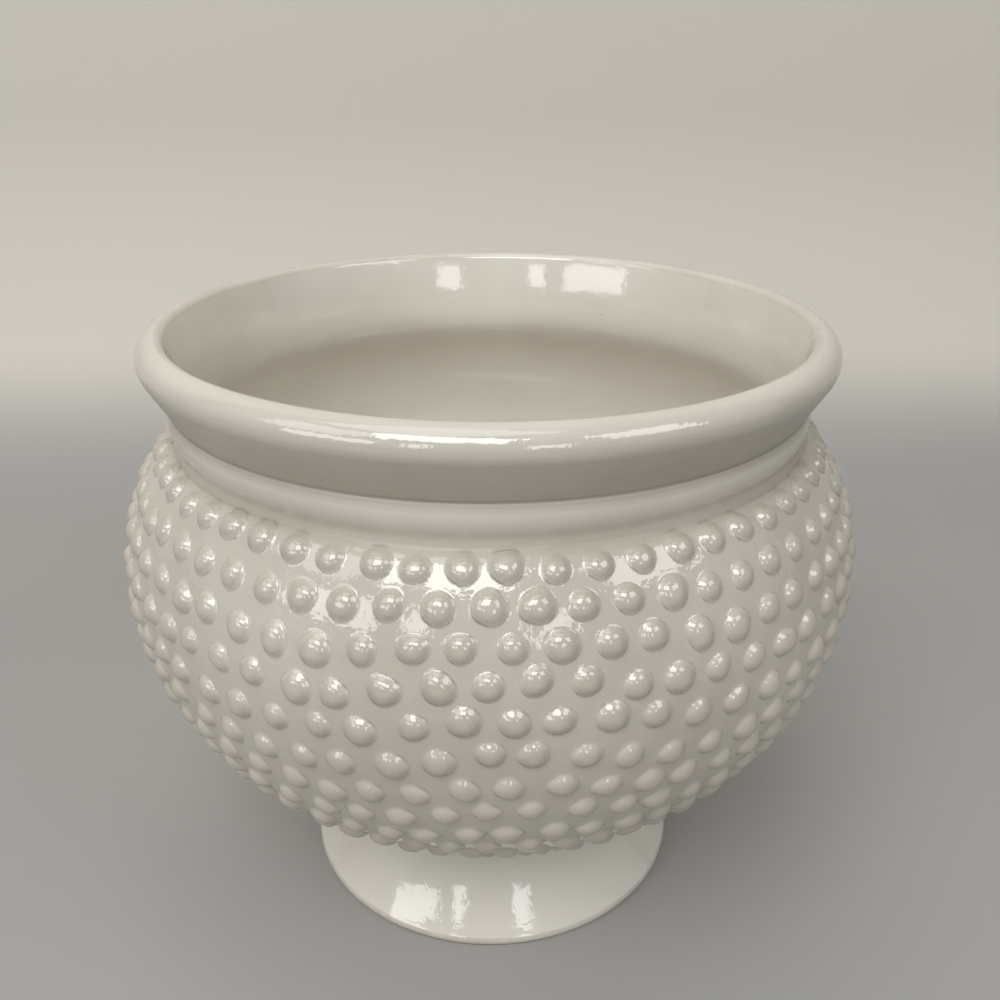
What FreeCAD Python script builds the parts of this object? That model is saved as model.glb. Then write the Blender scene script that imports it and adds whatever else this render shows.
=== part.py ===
"""Glazed pedestal planter, in millimetres.

A thrown bowl carries a neck collar with a rolled rim and stands on a hollow, flared foot.
Rows of small clay balls, the hobnails, are pressed on the outside of the bowl.
+Z is up.  The origin is the centre of the ring that the foot stands on.
"""
import FreeCAD, Part
import functools
import math
import os

# Bowl, without the hobnails
belly_radius = 153.4          # outside, at the widest place
base_radius = 62.0            # flat under the bowl, inside the foot
base_rise = 49.0              # ground to that flat
belly_rise = 114.0            # that flat to the widest place
shoulder_rise = 57.5          # widest place to the joint with the collar
shoulder_inset = 23.5         # the joint's edge lies this far inside the widest place
wall = 8.0
floor_thickness = 9.0

# Neck collar
collar_height = 13.4          # joint with the bowl to joint with the rim
collar_proud = 1.3            # the collar swells this far beyond the bowl's edge
collar_swell_share = 0.5      # height of the swell within the collar
neck_inset = 2.1              # the groove under the rim lies this far inside the swell
groove_radius = 4.0           # of the groove's hollow

# Rolled rim
rim_height = 27.2             # joint with the collar to the top
rim_overhang = 8.8            # beyond the collar's swell
rim_roll_radius = 8.0         # of the roll's outer side
rim_edge_radius = 4.0         # of its inner side

# Pedestal foot
foot_radius = 88.0
foot_ring_width = 12.0        # ring that bears on the ground, with its rounded toe
toe_radius = 3.0
toe_turn = 42.0               # degrees from upright at which the skirt leaves the toe
waist_radius = 63.5
foot_wall = 8.0

# Hobnails
row_count = 14
hobnail_width = 10.2          # where the clay meets the bowl
hobnail_height = 2.6          # above the bowl
hobnail_gap = 4.05            # between neighbours in the first row
pitch_change_share = 0.18     # a row is counted anew when its pitch is off by more than this
first_row_drop = 8.6          # below the collar, along the bowl
last_row_clearance = 17.0     # above the foot's waist, along the bowl
row_rise = 13.0               # the rows climb by up to this at the front
rise_turn = -86.0             # degrees, middle of the climb
rise_spread = 32.0            # degrees, from the middle of the climb to its ends
wander_share = 0.35           # a hobnail strays by up to this share of the space around it
size_change_share = 0.1       # a hobnail is larger or smaller by up to this share
first_hobnail_turn = -87.6    # degrees, place of a hobnail in the first row
seat_step = 0.7               # hobnails are seated at whole steps below the collar
golden_share = (math.sqrt(5) - 1) / 2

# Sizes that follow
belly_level = base_rise + belly_rise
shoulder_level = belly_level + shoulder_rise
neck_level = shoulder_level + collar_height
floor_level = base_rise + floor_thickness
shoulder_radius = belly_radius - shoulder_inset
throat_radius = shoulder_radius - wall
collar_radius = shoulder_radius + collar_proud
neck_radius = collar_radius - neck_inset
roll_radius = collar_radius + rim_overhang - rim_roll_radius
roll_level = neck_level + rim_height - rim_roll_radius
edge_level = neck_level + rim_height - rim_edge_radius
bowl_depth = belly_rise / math.sqrt(1 - (base_radius / belly_radius) ** 2)
hobnail_pitch = hobnail_width + hobnail_gap

upright = FreeCAD.Vector(0, 0, 1)
downward = FreeCAD.Vector(0, 0, -1)
inward = FreeCAD.Vector(-1, 0, 0)
quarter_turn = 90.0           # degrees, away from the seam of the turned surfaces


def at(radius, level):
    """Point of a section, which lies in the XZ plane."""
    return FreeCAD.Vector(radius, 0, level)


def line(start, end):
    return Part.makeLine(start, end)


def arc(start, middle, end):
    return Part.Arc(start, middle, end).toShape()


def arc_along(start, heading, end):
    """Arc that leaves the start along the heading and arrives at the end."""
    chord = end - start
    lean = heading.getAngle(chord)
    side = heading - chord * (heading.dot(chord) / chord.dot(chord))
    if side.Length == 0:
        return line(start, end)
    middle = (start + end) / 2 + side.normalize() * (chord.Length / 2 * math.tan(lean / 2))
    return arc(start, middle, end)


def ellipse_arc(radius, depth, level, low_level):
    """Arc of an ellipse centred on the axis, from its widest place down to the low level."""
    corner_weight = math.cos(math.pi / 4)
    poles = [at(radius, level), at(radius, level - depth), at(0, level - depth)]
    curve = Part.BSplineCurve()
    curve.buildFromPolesMultsKnots(poles, [3, 3], [0, 1], False, 2, [1, corner_weight, 1])
    low_radius = radius * math.sqrt(1 - ((level - low_level) / depth) ** 2)
    return curve.toShape(0, curve.parameter(at(low_radius, low_level)))


def end_of(edge):
    return edge.valueAt(edge.LastParameter)


def turned(edges):
    """Solid of revolution from the edges of a closed section."""
    section = Part.Face(Part.Wire(Part.__sortEdges__(edges)))
    return section.revolve(FreeCAD.Vector(0, 0, 0), upright, 360).Solids[0]


def wall_lines(inset, low_level):
    """Upper and lower line of the bowl's wall, an inset in from its outside."""
    widest = at(belly_radius - inset, belly_level)
    edge = at(shoulder_radius - inset, shoulder_level)
    upper = arc_along(widest, upright, edge)
    lower = ellipse_arc(belly_radius - inset, bowl_depth - inset, belly_level, low_level)
    return upper, lower


def core_section(upper, lower):
    """Edges around everything inside a wall line."""
    top = end_of(upper)
    bottom = end_of(lower)
    return [
        upper,
        lower,
        line(top, at(0, top.z)),
        line(at(0, top.z), at(0, bottom.z)),
        line(at(0, bottom.z), bottom),
    ]


outside_upper, outside_lower = wall_lines(0, base_rise)
inside_upper, inside_lower = wall_lines(wall, floor_level)
bowl_core = turned(core_section(outside_upper, outside_lower))


def make_bowl():
    """Thrown bowl with a flat floor inside and a flat underside."""
    return turned([
        outside_upper,
        outside_lower,
        line(end_of(outside_lower), at(0, base_rise)),
        line(at(0, base_rise), at(0, floor_level)),
        line(at(0, floor_level), end_of(inside_lower)),
        inside_lower,
        inside_upper,
        line(end_of(inside_upper), end_of(outside_upper)),
    ])


# Circles that the neck's section is drawn along
roll_centre = at(roll_radius, roll_level)
edge_centre = at(roll_radius, edge_level)
groove_centre = at(neck_radius + groove_radius, neck_level)


def flared_neck():
    """Arc inside the neck, upright at the throat and running smoothly into the roll."""
    across = throat_radius - roll_radius
    above = edge_level - shoulder_level
    square = rim_edge_radius ** 2 - across ** 2 - above ** 2
    flare_radius = square / (2 * (across + rim_edge_radius))
    flare_centre = at(throat_radius + flare_radius, shoulder_level)
    from_flare = (edge_centre - flare_centre) / (flare_radius - rim_edge_radius)
    return arc_along(at(throat_radius, shoulder_level), upright, edge_centre + from_flare * rim_edge_radius)


neck_inside = flared_neck()


def neck_inside_at(level):
    """Point of the neck's inside at a level."""
    centre = neck_inside.Curve.Center
    reach = math.sqrt(neck_inside.Curve.Radius ** 2 - (level - centre.z) ** 2)
    return at(centre.x + math.copysign(reach, throat_radius - centre.x), level)


def make_collar():
    """Collar that swells over the bowl's edge and runs into the groove under the rim."""
    swell_level = shoulder_level + collar_swell_share * collar_height
    across = groove_centre.x - collar_radius
    above = neck_level - swell_level
    swell_radius = (across ** 2 + above ** 2 - groove_radius ** 2) / (2 * neck_inset)
    towards_swell = (at(collar_radius - swell_radius, swell_level) - groove_centre).normalize()
    turning_point = groove_centre + towards_swell * groove_radius
    swell = at(collar_radius, swell_level)
    low_edge = at(shoulder_radius, shoulder_level)
    throat = at(throat_radius, shoulder_level)
    neck = at(neck_radius, neck_level)
    neck_bore = neck_inside_at(neck_level)
    return turned([
        line(throat, low_edge),
        arc_along(swell, downward, low_edge),
        arc_along(swell, upright, turning_point),
        arc_along(neck, downward, turning_point),
        line(neck, neck_bore),
        arc(neck_bore, neck_inside_at((neck_level + shoulder_level) / 2), throat),
    ])


def make_rim():
    """Rim rolled outwards, whose underside slopes straight in to the groove."""
    apart = roll_centre - groove_centre
    lean = math.acos((rim_roll_radius + groove_radius) / apart.Length)
    turn = math.atan2(apart.z, apart.x) + lean
    across_slope = FreeCAD.Vector(math.cos(turn), 0, math.sin(turn))
    slope_low = groove_centre + across_slope * groove_radius
    slope_high = roll_centre - across_slope * rim_roll_radius
    roll_out = at(roll_radius + rim_roll_radius, roll_level)
    top = at(roll_radius, roll_level + rim_roll_radius)
    neck = at(neck_radius, neck_level)
    neck_bore = neck_inside_at(neck_level)
    roll_inside = end_of(neck_inside)
    return turned([
        line(neck_bore, neck),
        arc_along(neck, upright, slope_low),
        line(slope_low, slope_high),
        arc(slope_high, roll_out, top),
        arc_along(top, inward, roll_inside),
        arc(roll_inside, neck_inside_at((neck_level + roll_level) / 2), neck_bore),
    ])


def make_foot():
    """Hollow skirt with a rounded toe; its top is shaped by the bowl's underside."""
    turn = math.radians(toe_turn)
    toe_centre = at(foot_radius - toe_radius, toe_radius)
    outwards = FreeCAD.Vector(math.cos(turn), 0, math.sin(turn))
    heading = FreeCAD.Vector(-math.sin(turn), 0, math.cos(turn))
    toe_low = at(foot_radius - toe_radius, 0)
    toe_out = at(foot_radius, toe_radius)
    toe_top = toe_centre + outwards * toe_radius
    ring_inside = at(foot_radius - foot_ring_width, 0)
    top_outside = at(waist_radius, floor_level)
    top_inside = at(waist_radius - foot_wall, floor_level)
    blank = turned([
        line(ring_inside, toe_low),
        arc(toe_low, toe_out, toe_top),
        arc_along(toe_top, heading, top_outside),
        line(top_outside, top_inside),
        arc_along(ring_inside, heading, top_inside),
    ])
    return blank.cut(bowl_core).Solids[0]


def outside_at(distance):
    """Point on the bowl's outside and the direction away from the wall, a distance below the collar."""
    if distance < outside_upper.Length:
        edge = outside_upper
        place = edge.getParameterByLength(edge.Length - distance)
        along = edge.tangentAt(place) * -1
    else:
        edge = outside_lower
        place = edge.getParameterByLength(distance - outside_upper.Length)
        along = edge.tangentAt(place)
    return edge.valueAt(place), FreeCAD.Vector(-along.z, 0, along.x)


def distance_to_waist():
    """Distance along the bowl's outside from the collar to the foot's waist."""
    waist_level = belly_level - bowl_depth * math.sqrt(1 - (waist_radius / belly_radius) ** 2)
    above = ellipse_arc(belly_radius, bowl_depth, belly_level, waist_level)
    return outside_upper.Length + above.Length


def row_distances():
    """Distance of each row below the collar."""
    room = distance_to_waist() - last_row_clearance - first_row_drop
    return [first_row_drop + room * number / (row_count - 1) for number in range(row_count)]


def stray(number):
    """Even spread of values from -1 to 1 that never falls into step."""
    return 2 * (number * golden_share % 1) - 1


def climb(way_share, turn):
    """How far a row climbs at a turn; the share tells how far down the rows it lies."""
    off = min((turn - rise_turn) % 360, (rise_turn - turn) % 360, rise_spread)
    return row_rise * math.sin(math.pi * way_share) * (1 + math.cos(math.pi * off / rise_spread)) / 2


@functools.lru_cache(None)
def make_hobnail(seat):
    """Low clay dome at a seat below the collar; its back takes the wall's shape."""
    size_share = 1 + size_change_share * stray(seat)
    height = size_share * hobnail_height
    ball_radius = ((size_share * hobnail_width / 2) ** 2 + height ** 2) / (2 * height)
    point, outwards = outside_at(seat * seat_step)
    ball = Part.makeSphere(ball_radius, point + outwards * (height - ball_radius), outwards)
    ball.rotate(FreeCAD.Vector(0, 0, 0), upright, quarter_turn)
    hobnail = ball.cut(bowl_core).Solids[0]
    hobnail.rotate(FreeCAD.Vector(0, 0, 0), upright, -quarter_turn)
    return hobnail


def make_row(number, distances, count):
    """One row of hobnails, half a pitch out of step with the row above."""
    distance = distances[number]
    way_share = number / (row_count - 1)
    row_radius = outside_at(distance)[0].x
    pitch = 2 * math.pi * row_radius / count
    raised = [other - climb(place / (row_count - 1), rise_turn) for place, other in enumerate(distances)]
    gaps = [abs(other - raised[number]) for other in raised if other != raised[number]]
    nearest = min(pitch, math.hypot(min(gaps), pitch / 2))
    wander = wander_share * max(nearest - hobnail_width * (1 + size_change_share), 0)
    solids = []
    for place in range(count):
        step = place + count * number
        along = pitch * (place + number % 2 / 2) + wander * stray(step ** 2)
        turn = first_hobnail_turn + math.degrees(along / row_radius)
        seat = round((distance + wander * stray(step ** 3) - climb(way_share, turn)) / seat_step)
        hobnail = make_hobnail(seat).copy()
        hobnail.rotate(FreeCAD.Vector(0, 0, 0), upright, turn)
        solids.append(hobnail)
    return Part.makeCompound(solids)


def make_rows():
    """All rows; a row keeps the count of the row above until its pitch is too far off."""
    rows = {}
    distances = row_distances()
    count = 1
    for number, distance in enumerate(distances):
        around = 2 * math.pi * outside_at(distance)[0].x
        if abs(around / count / hobnail_pitch - 1) > pitch_change_share:
            count = round(around / hobnail_pitch)
        rows["hobnail_row_%02d" % (number + 1)] = make_row(number, distances, count)
    return rows


pieces = {
    "bowl": make_bowl(),
    "neck_collar": make_collar(),
    "rolled_rim": make_rim(),
    "pedestal_foot": make_foot(),
}
pieces.update(make_rows())

os.makedirs("parts", exist_ok=True)
for name, shape in pieces.items():
    shape.exportStep("parts/" + name + ".step")
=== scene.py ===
"""Glazed pedestal planter on a pale floor, in metres, dressed over its CAD frame.

The pot is one continuous skin of glaze.  Its half section is drawn once, from the middle of the
floor inside, over the rim and down to the underside.  Each piece is a stretch of that section,
closed inside the wall and spun around the axis, so that the glaze runs on across the joints.
"""

import math

import bmesh
import bpy
import numpy as np
from mathutils import Matrix, Vector


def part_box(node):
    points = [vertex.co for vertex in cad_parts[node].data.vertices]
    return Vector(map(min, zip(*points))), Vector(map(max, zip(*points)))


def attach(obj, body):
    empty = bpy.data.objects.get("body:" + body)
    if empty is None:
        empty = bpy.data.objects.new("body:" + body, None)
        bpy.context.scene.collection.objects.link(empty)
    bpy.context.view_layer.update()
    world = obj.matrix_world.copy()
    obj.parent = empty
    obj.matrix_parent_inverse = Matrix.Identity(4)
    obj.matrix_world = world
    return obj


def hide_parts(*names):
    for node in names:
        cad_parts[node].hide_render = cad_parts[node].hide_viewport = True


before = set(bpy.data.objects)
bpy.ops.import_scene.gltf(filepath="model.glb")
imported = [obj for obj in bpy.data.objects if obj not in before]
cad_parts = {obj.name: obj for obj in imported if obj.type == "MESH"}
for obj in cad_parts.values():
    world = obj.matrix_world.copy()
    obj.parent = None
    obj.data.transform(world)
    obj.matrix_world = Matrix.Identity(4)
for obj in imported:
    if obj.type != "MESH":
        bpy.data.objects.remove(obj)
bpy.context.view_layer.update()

# Sizes of the pot, as in its frame
bowl_low, bowl_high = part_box("bowl")
collar_low, collar_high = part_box("neck_collar")
rim_low, rim_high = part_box("rolled_rim")
foot_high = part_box("pedestal_foot")[1]
belly_radius = bowl_high.x
base_level = bowl_low.z
shoulder_level = collar_low.z
neck_level = rim_low.z
rim_top = rim_high.z
collar_radius = collar_high.x
rim_radius = rim_high.x
foot_radius = foot_high.x
belly_level = 0.163
base_radius = 0.062
shoulder_radius = 0.1299
wall = 0.008
floor_level = 0.058
roll_radius = 0.008
edge_radius = 0.004
toe_radius = 0.003
toe_turn = math.radians(42)
ring_width = 0.012
waist_radius = 0.0635
foot_wall = 0.008

# Rows of hobnails, as in the frame: they climb at the front
row_names = ["hobnail_row_%02d" % number for number in range(1, 15)]
first_row_drop = 0.0086
last_row_clearance = 0.017
row_rise = 0.013
rise_turn = math.radians(-86)
rise_spread = math.radians(32)

# Sizes of the glaze, which nearly fills the groove under the rim
swell_share = 0.68
neck_inset = 0.0006
groove_radius = 0.0015
band_depth = 0.0025
upper_fillet = 0.0021
lower_fillet = 0.0006
bead_share = 1.3
oval_spread = 0.045
corner_spread = 0.022
rim_drop = 0.0014
rim_low_turn = math.radians(5)
crease_depth = 0.0018
crease_drop = 0.0022
crease_reach_above = 0.0025
crease_reach_below = 0.004
slow_unevenness = 0.0004
fine_unevenness = 0.00012

# Fineness of the mesh, and limits for what is read from it
columns = 1120
doublings = 4
corner_margin = 0.006
ring_margin = 0.001
merge_reach = 1e-6
tiny = 1e-12
lay_reach = 2.2
least_gap = 0.0012
sharp_crown = 400
sharp_angle = 1000

roll_centre = Vector((rim_radius - roll_radius, rim_top - roll_radius))
edge_centre = Vector((rim_radius - roll_radius, rim_top - edge_radius))
neck_radius = collar_radius - neck_inset
groove_centre = Vector((neck_radius + groove_radius, neck_level))
swell_level = shoulder_level + swell_share * (neck_level - shoulder_level)
throat_radius = shoulder_radius - wall
bowl_depth = (belly_level - base_level) / math.sqrt(1 - (base_radius / belly_radius) ** 2)


# Half section of the pot
section = bmesh.new()
marks = {}


def last_point():
    """Point that the section has reached."""
    section.verts.ensure_lookup_table()
    return section.verts[-1]


def mark(name):
    """Remember the last point of the section under a name."""
    marks[name] = len(section.verts) - 1


def draw_straight(radius, level, steps):
    """Carry the section straight on to a place."""
    start = last_point().co.copy()
    move = (Vector((radius, 0, level)) - start) / steps
    for step in range(steps):
        made = bmesh.ops.extrude_vert_indiv(section, verts=[last_point()])
        bmesh.ops.translate(section, verts=made["verts"], vec=move)


def draw_turn(centre_radius, centre_level, angle, steps):
    """Carry the section around a centre, clockwise."""
    bmesh.ops.spin(
        section, geom=[last_point()], cent=(centre_radius, 0, centre_level), axis=(0, 1, 0),
        angle=angle, steps=steps)


def arc_centre(start, heading, end):
    """Centre of the arc that leaves the start along the heading, and its clockwise turn."""
    side = Vector((heading.y, -heading.x))
    chord = end - start
    reach = chord.length_squared / (2 * chord.dot(side))
    turn = 2 * math.atan2(chord.dot(side), chord.dot(heading))
    return start + side * reach, turn


def draw_arc(heading, end, steps):
    """Carry the section on along a heading, in one arc, to a place."""
    point = last_point().co
    centre, turn = arc_centre(Vector((point.x, point.z)), heading.normalized(), end)
    draw_turn(centre.x, centre.y, turn, steps)


def draw_bowl_curve(radius, depth, start_angle, end_angle, steps):
    """Carry the section along the lower bowl, a part of an ellipse about the axis."""
    first = len(section.verts)
    last_point().co.z = belly_level - radius * math.sin(start_angle)
    draw_turn(0, belly_level, end_angle - start_angle, steps)
    section.verts.ensure_lookup_table()
    squash = Matrix.Scale(depth / radius, 4, (0, 0, 1))
    about = Matrix.Translation((0, 0, -belly_level))
    bmesh.ops.transform(section, matrix=squash, space=about, verts=section.verts[first - 1:])


def round_off(name, reach, times):
    """Soften the section around a marked point."""
    section.verts.ensure_lookup_table()
    place = marks[name]
    around = section.verts[place - reach:place + reach + 1]
    for time in range(times):
        bmesh.ops.smooth_vert(section, verts=around, factor=0.5, use_axis_x=True, use_axis_z=True)


# Inside, from the middle of the floor to the throat
inside_radius = belly_radius - wall
inside_depth = bowl_depth - wall
floor_angle = math.asin((belly_level - floor_level) / inside_depth)
floor_edge = inside_radius * math.cos(floor_angle)
section.verts.new((0, 0, floor_level))
draw_straight(floor_edge - corner_margin, floor_level, 12)
draw_straight(floor_edge, floor_level, 8)
mark("floor_corner")
draw_bowl_curve(inside_radius, inside_depth, floor_angle, 0, 72)
mark("inside_belly")
throat = Vector((throat_radius, shoulder_level))
draw_arc(Vector((0, 1)), throat, 44)
mark("throat")

# Neck inside, upright at the throat and running smoothly into the roll
across = throat_radius - edge_centre.x
above = edge_centre.y - shoulder_level
flare_radius = (edge_radius ** 2 - across ** 2 - above ** 2) / (2 * (across + edge_radius))
flare_centre = Vector((throat_radius + flare_radius, shoulder_level))
flare_angle = math.asin((edge_centre - flare_centre).normalized().y)
neck_angle = math.asin((neck_level - shoulder_level) / flare_radius)
draw_turn(flare_centre.x, flare_centre.y, neck_angle, 16)
mark("neck_inside")
draw_turn(flare_centre.x, flare_centre.y, flare_angle - neck_angle, 26)

# Rim: the roll, the sloping underside and the groove
apart = roll_centre - groove_centre
lean = math.acos((roll_radius + groove_radius) / apart.length)
slope_angle = math.atan2(apart.y, apart.x) + lean
slope_low = groove_centre + groove_radius * Vector((math.cos(slope_angle), math.sin(slope_angle)))
draw_turn(edge_centre.x, edge_centre.y, math.pi / 2 - flare_angle, 22)
mark("rim_top")
draw_turn(roll_centre.x, roll_centre.y, 1.5 * math.pi - slope_angle, 36)
mark("slope")
draw_straight(slope_low.x, slope_low.y, 22)
draw_turn(groove_centre.x, groove_centre.y, slope_angle - math.pi, 5)
mark("neck_outside")

# Collar
swell_offset = Vector((groove_centre.x - collar_radius, neck_level - swell_level))
swell_radius = (swell_offset.length_squared - groove_radius ** 2) / (2 * neck_inset)
swell_angle = math.atan2(swell_offset.y, swell_offset.x + swell_radius)
draw_turn(groove_centre.x, groove_centre.y, -swell_angle, 5)
draw_turn(collar_radius - swell_radius, swell_level, swell_angle, 8)
mark("swell")
draw_arc(Vector((0, -1)), Vector((shoulder_radius, shoulder_level)), 11)
mark("crease")

# Outside of the bowl, from the collar to the foot
belly = Vector((belly_radius, belly_level))
edge = Vector((shoulder_radius, shoulder_level))
upper_centre, upper_turn = arc_centre(belly, Vector((0, 1)), edge)
draw_turn(upper_centre.x, upper_centre.y, -upper_turn / 10, 8)
mark("shoulder")
draw_turn(upper_centre.x, upper_centre.y, -upper_turn * 0.9, 72)
joint_angle = math.acos(waist_radius / belly_radius)
draw_bowl_curve(belly_radius, bowl_depth, 0, joint_angle, 170)
mark("foot_joint")

# Foot, from the joint over the toe to the hollow and the underside
waist = last_point().co.copy()
skirt_heading = Vector((-math.sin(toe_turn), math.cos(toe_turn)))
toe_centre = Vector((foot_radius - toe_radius, toe_radius))
toe_top = toe_centre + Vector((math.cos(toe_turn), math.sin(toe_turn))) * toe_radius
skirt_centre, skirt_turn = arc_centre(toe_top, skirt_heading, Vector((waist.x, waist.z)))
draw_turn(skirt_centre.x, skirt_centre.y, -skirt_turn / 10, 6)
mark("skirt_top")
draw_turn(skirt_centre.x, skirt_centre.y, -skirt_turn * 0.9, 54)
draw_turn(toe_centre.x, toe_centre.y, toe_turn + math.pi / 2, 14)
draw_straight(foot_radius - ring_width + ring_margin, 0, 8)
mark("ring_edge")
draw_straight(foot_radius - ring_width, 0, 2)
hollow_edge = waist_radius - foot_wall
draw_arc(skirt_heading, Vector((hollow_edge, base_level)), 40)
mark("hollow_top")
draw_straight(hollow_edge - corner_margin, base_level, 8)
draw_straight(0, base_level, 8)

round_off("floor_corner", 7, 60)
round_off("throat", 8, 40)
round_off("crease", 2, 3)
round_off("foot_joint", 5, 16)
round_off("hollow_top", 5, 20)
skin = np.array([(point.co.x, point.co.z) for point in section.verts])
section.free()


# Skin of glaze: one ring of points for each point of the section
def around_axis(radius, level, angles):
    """Points at a radius and a level, turned around the axis."""
    return np.stack([radius * np.cos(angles), radius * np.sin(angles), level], axis=-1)


lengths = np.hypot(*np.diff(skin, axis=0).T)
travel = np.concatenate([[0], np.cumsum(lengths)])
forward = np.gradient(skin, axis=0)
forward /= np.linalg.norm(forward, axis=1, keepdims=True)
outwards = np.stack([-forward[:, 1], forward[:, 0]], axis=1)
angles = np.arange(columns) * 2 * math.pi / columns
crease = marks["crease"]
foot_joint = marks["foot_joint"]
bowl_rings = np.arange(crease, foot_joint + 1)

# The rings of the bowl's outside climb with the rows
row_travels = np.linspace(
    travel[crease] + first_row_drop, travel[foot_joint] - last_row_clearance, len(row_names))
way_shares = np.clip((travel - row_travels[0]) / (row_travels[-1] - row_travels[0]), 0, 1)
off_middle = np.abs((angles - rise_turn + math.pi) % (2 * math.pi) - math.pi)
climb_shares = (1 + np.cos(math.pi * np.minimum(off_middle / rise_spread, 1))) / 2
travel_grid = travel[:, None] - row_rise * np.outer(np.sin(math.pi * way_shares), climb_shares)


def along_section(values):
    """Values at the points of the section, read off at every point of the grid."""
    return np.interp(travel_grid, travel, values)


base_radii = along_section(skin[:, 0])
base_levels = along_section(skin[:, 1])
out_radii = along_section(outwards[:, 0])
out_levels = along_section(outwards[:, 1])


def read_hobnails(row_name):
    """Angle, travel, base radius and height of each hobnail of a CAD row."""
    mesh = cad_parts[row_name].data
    points = np.empty(3 * len(mesh.vertices))
    mesh.vertices.foreach_get("co", points)
    points = points.reshape(-1, 3)
    turn = np.arctan2(points[:, 1], points[:, 0])
    order = np.argsort(turn)
    turn = turn[order]
    points = points[order]
    radius = np.hypot(points[:, 0], points[:, 1])
    gaps = np.diff(np.append(turn, turn[0] + 2 * math.pi)) * radius
    ends = np.flatnonzero(gaps > least_gap)
    turn = np.roll(turn, -ends[0] - 1)
    points = np.roll(points, -ends[0] - 1, axis=0)
    sizes = np.diff(np.append(ends, ends[0] + len(turn)))
    hobnails = []
    first = 0
    for size in sizes:
        own = points[first:first + size]
        own_turn = np.unwrap(turn[first:first + size])
        first += size
        angle = (own_turn.min() + own_turn.max()) / 2
        own_radius = np.hypot(own[:, 0], own[:, 1])
        own_level = own[:, 2]
        middle = np.array([own_radius.min() + own_radius.max(), own_level.min() + own_level.max()]) / 2
        ring = bowl_rings[np.argmin(np.hypot(*(skin[bowl_rings] - middle).T))]
        beyond = (np.stack([own_radius, own_level], axis=1) - skin[ring]) @ outwards[ring]
        base = (own_turn.max() - own_turn.min()) / 2 * skin[ring, 0]
        hobnails.append((angle, travel[ring], base, beyond.max()))
    return hobnails


def hobnail_heights(reach, base, height, fillet):
    """Height of the glaze over a hobnail at each reach from its middle: a dome with a soft foot."""
    ball = (base ** 2 + height ** 2) / (2 * height)
    sunk = ball - height
    foot = np.sqrt((ball + fillet) ** 2 - (fillet + sunk) ** 2)
    turning = ball * foot / (ball + fillet)
    dome = np.sqrt(np.maximum(ball ** 2 - reach ** 2, 0)) - sunk
    skirt = fillet - np.sqrt(np.maximum(fillet ** 2 - (foot - reach) ** 2, 0))
    return np.where(reach < turning, dome, np.where(reach < foot, skirt, 0))


def lay_hobnail(angle, place, base, height):
    """Raise the glaze over one hobnail, a little out of round, with glaze in the angle above it."""
    window = lay_reach * base
    across = (angles - angle + math.pi) % (2 * math.pi) - math.pi
    near = np.flatnonzero(np.abs(across) * skin[bowl_rings, 0].min() < window)
    drop = travel_grid[np.ix_(bowl_rings, near)] - place
    close = np.abs(drop).min(axis=1) < window
    rings = bowl_rings[close]
    drop = drop[close]
    side = across[near][None, :] * base_radii[np.ix_(rings, near)]
    direction = np.arctan2(side, -drop)
    oval, corner = chance.normal(0, (oval_spread, corner_spread))
    oval_turn, corner_turn = chance.uniform(-math.pi, math.pi, 2)
    round_share = 1 + oval * np.cos(2 * direction - oval_turn)
    round_share += corner * np.cos(3 * direction - corner_turn)
    fillet = lower_fillet + (upper_fillet - lower_fillet) * (1 + np.cos(direction)) / 2
    reach = base * (np.hypot(side, drop) / round_share / base) ** bead_share
    heights = hobnail_heights(reach, base, height, fillet)
    patch = np.ix_(rings, near)
    relief[patch] = np.maximum(relief[patch], heights)


relief = np.zeros((len(skin), columns))
chance = np.random.default_rng(14)
for row_name in row_names:
    for hobnail in read_hobnails(row_name):
        lay_hobnail(*hobnail)


def hand_waves(seed, count, most_around, most_along):
    """Smooth unevenness of hand work over the skin, from 0 to 1."""
    waves = np.random.default_rng(seed)
    total = np.zeros((len(skin), columns))
    for number in range(count):
        around = waves.integers(1, most_around)
        along = waves.uniform(-most_along, most_along)
        start = waves.uniform(0, 2 * math.pi)
        total += np.cos(around * angles[None, :] + along * travel[:, None] + start)
    return 0.5 + total / (2 * count)


# Only inwards, so that the pot keeps within the sizes of its frame
uneven = -slow_unevenness * hand_waves(3, 7, 5, 40) - fine_unevenness * hand_waves(8, 9, 40, 500)

# The ring under the foot and the middle of the pot stay even, with a soft change over some rings
soft_rings = 7
standing_ring = slice(marks["ring_edge"] - 14, marks["ring_edge"] + 4)
still = np.ones(len(skin))
still[standing_ring] = 0
still[:2] = 0
still[-2:] = 0
padded = np.pad(still, soft_rings // 2, mode="edge")
still = np.convolve(padded, np.ones(soft_rings) / soft_rings, mode="valid")
relief += uneven * still[:, None]

# The collar's lower edge is pressed into the bowl
crease_place = travel - travel[crease] - crease_drop
crease_reach = np.where(crease_place < 0, crease_reach_above, crease_reach_below)
relief -= crease_depth * np.exp(-np.abs(crease_place) / crease_reach)[:, None]

# The rim dips a little to one side
rim_shares = np.clip((base_levels - shoulder_level) / (rim_top - shoulder_level), 0, 1)
rim_shares *= rim_shares * (3 - 2 * rim_shares)
dip = rim_drop * rim_shares * (1 + np.cos(angles - rim_low_turn)) / 2

grid = around_axis(base_radii + out_radii * relief, base_levels + out_levels * relief - dip, angles)
back_grid = around_axis(
    base_radii - out_radii * band_depth, base_levels - out_levels * band_depth, angles)
along_grid = np.gradient(grid, axis=0)
around_grid = np.roll(grid, -1, axis=1) - np.roll(grid, 1, axis=1)
normals = np.cross(along_grid, around_grid)
sizes = np.linalg.norm(normals, axis=2, keepdims=True)
flat = around_axis(out_radii, out_levels, angles)
normals = np.where(sizes > tiny, normals / np.maximum(sizes, tiny), flat)
normals[0] = (0, 0, 1)
normals[-1] = (0, 0, -1)


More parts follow.
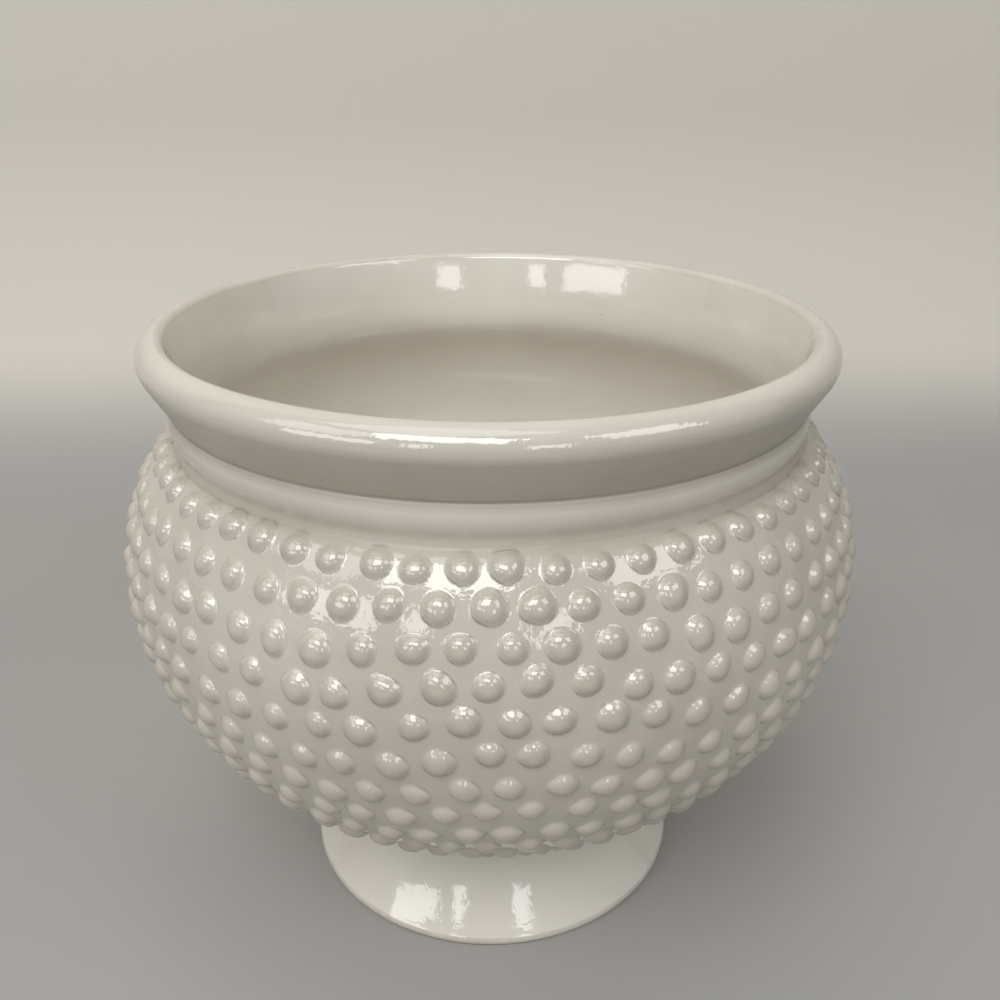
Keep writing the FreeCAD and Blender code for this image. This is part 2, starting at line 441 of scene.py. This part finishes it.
# Glaze depth value for the colour, the roughness and the wrinkles. It carries painted light and shade:
# the inside is painted lighter; painted shade darkens the throat inside, the band under the rim,
# the crease, and the hobnailed bowl more towards the foot, on top of thinner glaze over the hobnails.
depths_and_shade = {
    "floor_corner": 1, "inside_belly": 1, "throat": 0.4, "neck_inside": 0.78, "rim_top": 0.76,
    "slope": 0.2, "neck_outside": 0, "swell": 0.74, "crease": 0.05, "shoulder": 0.38,
    "foot_joint": 0.28, "skirt_top": 0.96, "ring_edge": 1}
depth_places = [travel[marks[name]] + (crease_drop if name == "crease" else 0) for name in depths_and_shade]
glaze_depth_and_shade = np.interp(travel, depth_places, list(depths_and_shade.values()))


def bend_along(axis_steps, axis_turns):
    """Bend of the skin one way: how fast its normal turns per metre."""
    return np.sum(axis_steps * axis_turns, axis=2) / np.maximum(np.sum(axis_steps ** 2, axis=2), tiny)


# Above nought on crowns and below it in angles, each counted by its own sharpness
crown = bend_along(along_grid, np.gradient(normals, axis=0))
crown += bend_along(around_grid, np.roll(normals, -1, axis=1) - np.roll(normals, 1, axis=1))
crown = np.clip(np.where(crown < 0, crown / sharp_angle, crown / sharp_crown), -1, 1)


def pot_piece(name, corners, closed, step, material):
    """Piece of the pot: a section of skin points and hidden corners, spun around the axis.

    A corner is the ring number of a skin point, or -2 - ring for the place behind it in the wall.
    A part of the turn is spun in steps of some columns, and then doubled until it is whole.
    """
    shape = bmesh.new()
    ring_layer = shape.verts.layers.int.new("ring")
    points = []
    for corner in corners:
        place = skin[corner] if corner >= 0 else skin[-2 - corner] - outwards[-2 - corner] * band_depth
        point = shape.verts.new((place[0], 0, place[1]))
        point[ring_layer] = corner
        points.append(point)
    pairs = list(zip(points, points[1:]))
    if closed:
        pairs.append((points[-1], points[0]))
    lines = [shape.edges.new(pair) for pair in pairs]
    parts = 2 ** doublings
    turn = 2 * math.pi / parts
    bmesh.ops.spin(
        shape, geom=points + lines, cent=(0, 0, 0), axis=(0, 0, 1), angle=turn,
        steps=columns // step // parts)
    for doubling in range(doublings):
        copied = bmesh.ops.duplicate(shape, geom=shape.verts[:] + shape.edges[:] + shape.faces[:])
        new_points = [item for item in copied["geom"] if isinstance(item, bmesh.types.BMVert)]
        bmesh.ops.rotate(shape, verts=new_points, cent=(0, 0, 0), matrix=Matrix.Rotation(turn, 3, "Z"))
        turn *= 2
    bmesh.ops.remove_doubles(shape, verts=shape.verts, dist=merge_reach)
    bmesh.ops.recalc_face_normals(shape, faces=shape.faces)
    mesh = bpy.data.meshes.new(name)
    shape.to_mesh(mesh)
    shape.free()
    lay_skin(mesh)
    mesh.materials.append(material)
    piece = bpy.data.objects.new(name, mesh)
    bpy.context.scene.collection.objects.link(piece)
    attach(piece, "root")
    return piece


def lay_skin(mesh):
    """Move the points of a spun piece onto the skin and give it the skin's normals."""
    count = len(mesh.vertices)
    rings = np.empty(count, dtype=np.int32)
    mesh.attributes["ring"].data.foreach_get("value", rings)
    points = np.empty(3 * count)
    mesh.vertices.foreach_get("co", points)
    points = points.reshape(-1, 3)
    turn = np.arctan2(points[:, 1], points[:, 0])
    column = np.rint(turn / (2 * math.pi) * columns).astype(int) % columns
    shown = rings >= 0
    points[shown] = grid[rings[shown], column[shown]]
    points[~shown] = back_grid[-2 - rings[~shown], column[~shown]]
    mesh.vertices.foreach_set("co", points.ravel())
    mesh.update()
    corner_points = np.empty(len(mesh.loops), dtype=np.int32)
    mesh.loops.foreach_get("vertex_index", corner_points)
    face_starts = np.empty(len(mesh.polygons), dtype=np.int32)
    mesh.polygons.foreach_get("loop_start", face_starts)
    face_sizes = np.empty(len(mesh.polygons), dtype=np.int32)
    mesh.polygons.foreach_get("loop_total", face_sizes)
    face_normals = np.empty(3 * len(mesh.polygons))
    mesh.polygons.foreach_get("normal", face_normals)
    corner_rings = rings[corner_points]
    lowest = np.minimum.reduceat(corner_rings, face_starts)
    highest = np.maximum.reduceat(corner_rings, face_starts)
    on_skin = np.repeat((lowest >= 0) & (highest - lowest <= 1), face_sizes)
    corner_normals = np.repeat(face_normals.reshape(-1, 3), face_sizes, axis=0)
    corner_normals[on_skin] = normals[corner_rings, column[corner_points]][on_skin]
    mesh.polygons.foreach_set("use_smooth", np.ones(len(mesh.polygons), dtype=bool))
    bend = mesh.attributes.new("crown", "FLOAT", "POINT")
    bend.data.foreach_set("value", np.where(shown, crown[rings, column], 0).astype(np.float32))
    # The depth attribute carries painted light inside the pot and painted shade under the rim, in the
    # crease and on the bowl.
    depth = mesh.attributes.new("depth", "FLOAT", "POINT")
    depth.data.foreach_set("value", np.where(shown, glaze_depth_and_shade[rings], 0).astype(np.float32))
    mesh.attributes.remove(mesh.attributes["ring"])
    mesh.normals_split_custom_set(corner_normals.tolist())
    mesh.update()


# Colours and sizes of the finish
# The darker glaze colour paints shade under the rim and in the crease; the lighter one paints the
# inside of the pot lighter.
thin_glaze_and_shade = (0.46, 0.425, 0.362, 1)
deep_glaze_and_light = (0.815, 0.785, 0.715, 1)
crown_glaze = (0.49, 0.43, 0.365, 1)
# Painted shade that darkens the concave angles around the hobnails and in the crease.
angle_shade_colour = (0.25, 0.228, 0.193, 1)
speck_colour = (0.16, 0.125, 0.09, 1)
dark_clay = (0.5, 0.36, 0.26, 1)
pale_clay = (0.66, 0.53, 0.42, 1)
glaze_ior = 1.8
bump_depth = 0.0004
crack_width = 0.00018
crack_depth = 0.004
crack_crook = 0.001


# Materials
def add_node(tree, kind, **settings):
    """New node; a setting is a property of the node, or the value of the input of that name."""
    node = tree.nodes.new(kind)
    for name, value in settings.items():
        if hasattr(node, name):
            setattr(node, name, value)
        else:
            node.inputs[name.replace("_", " ").title()].default_value = value
    return node


def noise(tree, place, scale, detail, roughness):
    """Cloudy values, from 0 to 1."""
    node = add_node(tree, "ShaderNodeTexNoise", scale=scale, detail=detail, roughness=roughness)
    tree.links.new(place, node.inputs["Vector"])
    return node.outputs["Fac"]


def remap(tree, value, low, high, new_low, new_high):
    """Stretch a value between two limits to a new range."""
    node = add_node(tree, "ShaderNodeMapRange", interpolation_type="SMOOTHSTEP")
    limits = {"From Min": low, "From Max": high, "To Min": new_low, "To Max": new_high}
    for name, number in limits.items():
        node.inputs[name].default_value = number
    tree.links.new(value, node.inputs["Value"])
    return node.outputs["Result"]


def combine(tree, operation, first, second):
    """Arithmetic on two values, each a socket or a number."""
    node = add_node(tree, "ShaderNodeMath", operation=operation)
    for socket, value in zip(node.inputs, (first, second)):
        if isinstance(value, (int, float)):
            socket.default_value = value
        else:
            tree.links.new(value, socket)
    return node.outputs["Value"]


def blend_colours(tree, share, first, second):
    """Mix of two colours, each a socket or four numbers."""
    node = add_node(tree, "ShaderNodeMix", data_type="RGBA")
    tree.links.new(share, node.inputs["Factor"])
    for socket, colour in zip((node.inputs[6], node.inputs[7]), (first, second)):
        if isinstance(colour, tuple):
            socket.default_value = colour
        else:
            tree.links.new(colour, socket)
    return node.outputs[2]


def spots(tree, place, scale, size, share):
    """Mask of small round spots, in a share of the cells of a random pattern."""
    cells = add_node(tree, "ShaderNodeTexVoronoi", scale=scale)
    tree.links.new(place, cells.inputs["Vector"])
    pick = add_node(tree, "ShaderNodeSeparateColor")
    tree.links.new(cells.outputs["Color"], pick.inputs["Color"])
    chosen = combine(tree, "LESS_THAN", pick.outputs["Red"], share)
    size_here = combine(tree, "MULTIPLY", pick.outputs["Green"], size)
    inside = combine(tree, "LESS_THAN", cells.outputs["Distance"], size_here)
    return combine(tree, "MULTIPLY", chosen, inside)


def hairline(tree, place, centre, turn, reach):
    """Mask of a short, crooked crack about a place on the glaze."""
    local = add_node(tree, "ShaderNodeMapping", vector_type="TEXTURE")
    local.inputs["Location"].default_value = centre
    local.inputs["Rotation"].default_value = (0, 0, turn)
    tree.links.new(place, local.inputs["Vector"])
    split = add_node(tree, "ShaderNodeSeparateXYZ")
    tree.links.new(local.outputs["Vector"], split.inputs["Vector"])
    crook = remap(tree, noise(tree, place, 500, 2, 0.5), 0.2, 0.8, -crack_crook, crack_crook)
    across = combine(tree, "ABSOLUTE", combine(tree, "ADD", split.outputs["Y"], crook), 0)
    along = combine(tree, "ABSOLUTE", split.outputs["X"], 0)
    depth = combine(tree, "ABSOLUTE", split.outputs["Z"], 0)
    within_reach = combine(tree, "LESS_THAN", along, reach)
    within_depth = combine(tree, "LESS_THAN", depth, crack_depth)
    near = combine(tree, "MULTIPLY", within_reach, within_depth)
    return combine(tree, "MULTIPLY", near, combine(tree, "LESS_THAN", across, crack_width))


def new_group(name, inputs, outputs):
    """Node group with its sockets; also gives the sockets that it reads and writes inside."""
    group = bpy.data.node_groups.new(name, "ShaderNodeTree")
    for label, kind in inputs:
        group.interface.new_socket(name=label, in_out="INPUT", socket_type=kind)
    for label, kind in outputs:
        group.interface.new_socket(name=label, in_out="OUTPUT", socket_type=kind)
    return group, group.nodes.new("NodeGroupInput").outputs, group.nodes.new("NodeGroupOutput").inputs


def make_glaze_group():
    """White glaze: cloudy, darker where its depth value is low, which paints shade under the rim, in
    the crease and on the lower bowl, and lighter inside as painted light; painted shade in angles;
    warmer and thin on crowns.
    """
    group, given, result = new_group(
        "white glaze",
        [("Place", "NodeSocketVector"), ("Crown", "NodeSocketFloat"), ("Depth", "NodeSocketFloat")],
        [("Colour", "NodeSocketColor"), ("Roughness", "NodeSocketFloat"),
         ("Height", "NodeSocketFloat")])
    place = given["Place"]
    clouds = noise(group, place, 14, 3, 0.5)
    mottle = noise(group, place, 95, 4, 0.6)
    ripple = noise(group, place, 260, 2, 0.5)
    waves = noise(group, place, 34, 1, 0.4)
    # Painted light and shade: the depth value picks between the darker and the lighter glaze colour.
    depth_and_shade_share = combine(group, "ADD", given["Depth"], remap(group, clouds, 0.3, 0.7, -0.09, 0.09))
    body = blend_colours(group, depth_and_shade_share, thin_glaze_and_shade, deep_glaze_and_light)
    thin = combine(
        group, "MULTIPLY", remap(group, given["Crown"], 0.15, 0.95, 0, 0.5),
        remap(group, mottle, 0.35, 0.65, 0.55, 1))
    thinned = blend_colours(group, thin, body, crown_glaze)
    # Painted shade: concave angles get a dark colour where shade falls.
    angle_shade = remap(group, given["Crown"], -0.22, -0.75, 0, 0.85)
    angle_shaded = blend_colours(group, angle_shade, thinned, angle_shade_colour)
    pinholes = spots(group, place, 70, 0.05, 0.16)
    specks = spots(group, place, 210, 0.07, 0.05)
    flaws = combine(group, "MAXIMUM", combine(group, "MULTIPLY", pinholes, 0.75),
                    combine(group, "MULTIPLY", specks, 0.4))
    long_crack = hairline(group, place, (0.1242, -0.0246, 0.2592), math.radians(55), 0.0038)
    short_crack = hairline(group, place, (0.1262, -0.0226, 0.2598), math.radians(105), 0.0016)
    cracks = combine(group, "MAXIMUM", long_crack, short_crack)
    flaws = combine(group, "MAXIMUM", flaws, combine(group, "MULTIPLY", cracks, 0.7))
    colour = blend_colours(group, flaws, angle_shaded, speck_colour)
    gloss = combine(group, "ADD", remap(group, mottle, 0.3, 0.7, 0.05, 0.1),
                    combine(group, "MULTIPLY", pinholes, 0.3))
    gloss = combine(group, "ADD", gloss, remap(group, given["Depth"], 0.3, 0.12, 0, 0.35))
    wrinkles = combine(group, "MULTIPLY", ripple, remap(group, given["Depth"], 0.4, 0.8, 0.75, 0.12))
    height = combine(group, "ADD", combine(group, "MULTIPLY", mottle, 0.7), wrinkles)
    height = combine(group, "ADD", height, combine(group, "MULTIPLY", waves, 1.6))
    group.links.new(colour, result["Colour"])
    group.links.new(gloss, result["Roughness"])
    group.links.new(height, result["Height"])
    return group


def start_material(name):
    """New material, its nodes, its shader and its Object coordinates."""
    material = bpy.data.materials.new(name)
    material.use_nodes = True
    tree = material.node_tree
    shader = tree.nodes["Principled BSDF"]
    place = tree.nodes.new("ShaderNodeTexCoord").outputs["Object"]
    return material, tree, shader, place


def set_bump(tree, shader, height, strength):
    """Fine relief from a height."""
    bump = tree.nodes.new("ShaderNodeBump")
    bump.inputs["Distance"].default_value = bump_depth
    bump.inputs["Strength"].default_value = strength
    tree.links.new(height, bump.inputs["Height"])
    tree.links.new(bump.outputs["Normal"], shader.inputs["Normal"])


def place_glaze(tree, place):
    """The glaze group in a material, fed with the crowns and the depth of the piece."""
    glaze = tree.nodes.new("ShaderNodeGroup")
    glaze.node_tree = glaze_group
    bend = add_node(tree, "ShaderNodeAttribute", attribute_name="crown")
    tree.links.new(place, glaze.inputs["Place"])
    tree.links.new(bend.outputs["Fac"], glaze.inputs["Crown"])
    # The depth attribute brings painted light and shade along with the glaze's depth.
    depth = add_node(tree, "ShaderNodeAttribute", attribute_name="depth")
    tree.links.new(depth.outputs["Fac"], glaze.inputs["Depth"])
    return glaze.outputs


def make_glaze():
    """Glossy glaze of the whole pot above the foot."""
    material, tree, shader, place = start_material("white_glaze_gloss")
    glaze = place_glaze(tree, place)
    shader.inputs["IOR"].default_value = glaze_ior
    tree.links.new(glaze["Colour"], shader.inputs["Base Color"])
    tree.links.new(glaze["Roughness"], shader.inputs["Roughness"])
    set_bump(tree, shader, glaze["Height"], 0.5)
    return material


def make_foot_glaze():
    """Glaze that is wiped off the ring on which the foot stands, down to the bare clay."""
    material, tree, shader, place = start_material("white_glaze_wiped_foot")
    glaze = place_glaze(tree, place)
    shader.inputs["IOR"].default_value = glaze_ior
    grain = noise(tree, place, 900, 3, 0.6)
    smear = noise(tree, place, 60, 3, 0.55)
    split = add_node(tree, "ShaderNodeSeparateXYZ")
    tree.links.new(place, split.inputs["Vector"])
    wiped_to = remap(tree, smear, 0.3, 0.7, 0.0003, 0.0016)
    above = combine(tree, "SUBTRACT", split.outputs["Z"], wiped_to)
    bare = remap(tree, above, -0.0002, 0.0002, 1, 0)
    clay = blend_colours(tree, grain, dark_clay, pale_clay)
    tree.links.new(blend_colours(tree, bare, glaze["Colour"], clay), shader.inputs["Base Color"])
    rough = combine(tree, "MAXIMUM", glaze["Roughness"], combine(tree, "MULTIPLY", bare, 0.85))
    tree.links.new(rough, shader.inputs["Roughness"])
    bare_grain = combine(tree, "MULTIPLY", bare, grain)
    height = combine(tree, "ADD", glaze["Height"], combine(tree, "MULTIPLY", bare_grain, 0.8))
    set_bump(tree, shader, height, 0.75)
    return material


glaze_group = make_glaze_group()
glaze = make_glaze()
foot_glaze = make_foot_glaze()

# Pieces of the pot
throat_ring = marks["throat"]
neck_in = marks["neck_inside"]
neck_out = marks["neck_outside"]
hollow_top = marks["hollow_top"]

# Bands of the bowl's outside, each with one row of hobnails
band_ends = [crease]
for above, below in zip(row_travels, row_travels[1:]):
    band_ends.append(int(np.argmin(np.abs(travel - (above + below) / 2))))
band_ends.append(foot_joint)
backs = [-2 - ring for ring in band_ends]

bowl = pot_piece(
    "glazed_bowl",
    list(range(throat_ring + 1)) + backs + list(range(hollow_top, len(skin))),
    False, 2, glaze)
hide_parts("bowl")
collar = pot_piece(
    "glazed_neck_collar",
    list(range(neck_out, crease + 1)) + list(range(throat_ring, neck_in + 1)),
    True, 2, glaze)
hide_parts("neck_collar")
rim = pot_piece("glazed_rolled_rim", list(range(neck_in, neck_out + 1)), True, 2, glaze)
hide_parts("rolled_rim")
foot = pot_piece(
    "glazed_pedestal_foot", list(range(foot_joint, hollow_top + 1)), True, 2, foot_glaze)
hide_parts("pedestal_foot")
for number, row_name in enumerate(row_names):
    band = pot_piece(
        "glazed_" + row_name,
        list(range(band_ends[number], band_ends[number + 1] + 1)) + [backs[number + 1], backs[number]],
        True, 1, glaze)
    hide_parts(row_name)


# Floor with a curved backdrop
def make_floor():
    """Pale floor that curves up behind the pot into a warmer backdrop."""
    half = 4
    curve_start = 0.35
    curve_radius = 0.3
    backdrop_height = 2.2
    dark_ground = (0.38, 0.379, 0.37, 1)
    pale_ground = (0.41, 0.407, 0.395, 1)
    backdrop = (0.7, 0.672, 0.612, 1)
    shape = bmesh.new()
    first = shape.verts.new((-half, -half, 0))
    bmesh.ops.extrude_vert_indiv(shape, verts=[first])
    shape.verts.ensure_lookup_table()
    shape.verts[1].co = (-half, curve_start, 0)
    bmesh.ops.spin(
        shape, geom=[shape.verts[1]], cent=(-half, curve_start, curve_radius), axis=(1, 0, 0),
        angle=math.pi / 2, steps=32)
    shape.verts.ensure_lookup_table()
    top = bmesh.ops.extrude_vert_indiv(shape, verts=[shape.verts[-1]])
    bmesh.ops.translate(shape, verts=top["verts"], vec=(0, 0, backdrop_height))
    swept = bmesh.ops.extrude_edge_only(shape, edges=shape.edges[:])
    moved = [item for item in swept["geom"] if isinstance(item, bmesh.types.BMVert)]
    bmesh.ops.translate(shape, verts=moved, vec=(2 * half, 0, 0))
    bmesh.ops.recalc_face_normals(shape, faces=shape.faces)
    for face in shape.faces:
        face.smooth = True
    mesh = bpy.data.meshes.new("pale_floor")
    shape.to_mesh(mesh)
    shape.free()
    material, tree, shader, place = start_material("pale_floor_paint")
    split = add_node(tree, "ShaderNodeSeparateXYZ")
    tree.links.new(place, split.inputs["Vector"])
    ground = blend_colours(tree, noise(tree, place, 3, 3, 0.5), dark_ground, pale_ground)
    risen = remap(tree, split.outputs["Z"], 0.005, 0.09, 0, 1)
    tone = blend_colours(tree, risen, ground, backdrop)
    tree.links.new(tone, shader.inputs["Base Color"])
    shader.inputs["Roughness"].default_value = 0.75
    mesh.materials.append(material)
    floor = bpy.data.objects.new("pale_floor", mesh)
    bpy.context.scene.collection.objects.link(floor)


# Light: a soft key lamp above the camera, weaker lamps around, and three fields that the glaze mirrors
def soft_box(name, turn, rise, distance, width, height, power):
    """Area light that faces the pot; its turn is counted from the camera's side, to the right."""
    daylight = (1, 0.99, 0.975)
    aim = Vector((0, 0, 0.17))
    turn = math.radians(turn)
    rise = math.radians(rise)
    level = math.cos(rise)
    direction = Vector((math.sin(turn) * level, -math.cos(turn) * level, math.sin(rise)))
    lamp = bpy.data.lights.new(name, "AREA")
    lamp.shape = "RECTANGLE"
    lamp.size = width
    lamp.size_y = height
    lamp.energy = power
    lamp.color = daylight
    holder = bpy.data.objects.new(name, lamp)
    holder.location = aim + direction * distance
    holder.rotation_euler = direction.to_track_quat("Z", "Y").to_euler()
    bpy.context.scene.collection.objects.link(holder)


def make_lights():
    """Lamps, and a dim room that is brighter where it is seen or mirrored."""
    room_light = 0.03
    room_seen = 0.37
    soft_box("key", -16, 50, 2.5, 1.6, 1.0, 28)
    soft_box("fill_left", -62, 42, 2.5, 1.2, 1.0, 6.5)
    soft_box("fill_right", 55, 40, 2.5, 1.2, 1.0, 11.5)
    soft_box("ceiling", -60, 80, 2.2, 1.4, 1.4, 9)
    soft_box("window_left", -47, 19, 2.5, 1.16, 0.62, 7)
    soft_box("window_middle", -21, 19, 2.5, 0.31, 0.62, 2)
    soft_box("window_right", 17.5, 19, 2.5, 0.48, 0.62, 3)
    world = bpy.data.worlds.new("room")
    world.use_nodes = True
    sky = world.node_tree.nodes["Background"]
    sky.inputs["Color"].default_value = (0.95, 0.95, 0.93, 1)
    seen = world.node_tree.nodes.new("ShaderNodeLightPath").outputs
    shown = combine(world.node_tree, "MAXIMUM", seen["Is Camera Ray"], seen["Is Glossy Ray"])
    extra = combine(world.node_tree, "MULTIPLY", shown, room_seen)
    level = combine(world.node_tree, "ADD", extra, room_light)
    world.node_tree.links.new(level, sky.inputs["Strength"])
    bpy.context.scene.world = world


def make_camera():
    """Camera in front of the pot and above its rim, turned a little to the right."""
    yaw = math.radians(0.649)
    pitch = math.radians(24.416)
    roll = math.radians(0.113)
    lens = bpy.data.cameras.new("camera")
    lens.sensor_width = 36
    lens.lens = 36.008
    camera = bpy.data.objects.new("camera", lens)
    camera.location = (0, -0.40618, 0.35993)
    camera.rotation_euler = (math.pi / 2 - pitch, roll, -yaw)
    bpy.context.scene.collection.objects.link(camera)
    bpy.context.scene.camera = camera


make_floor()
make_lights()
make_camera()
bpy.context.scene.view_settings.view_transform = "Standard"
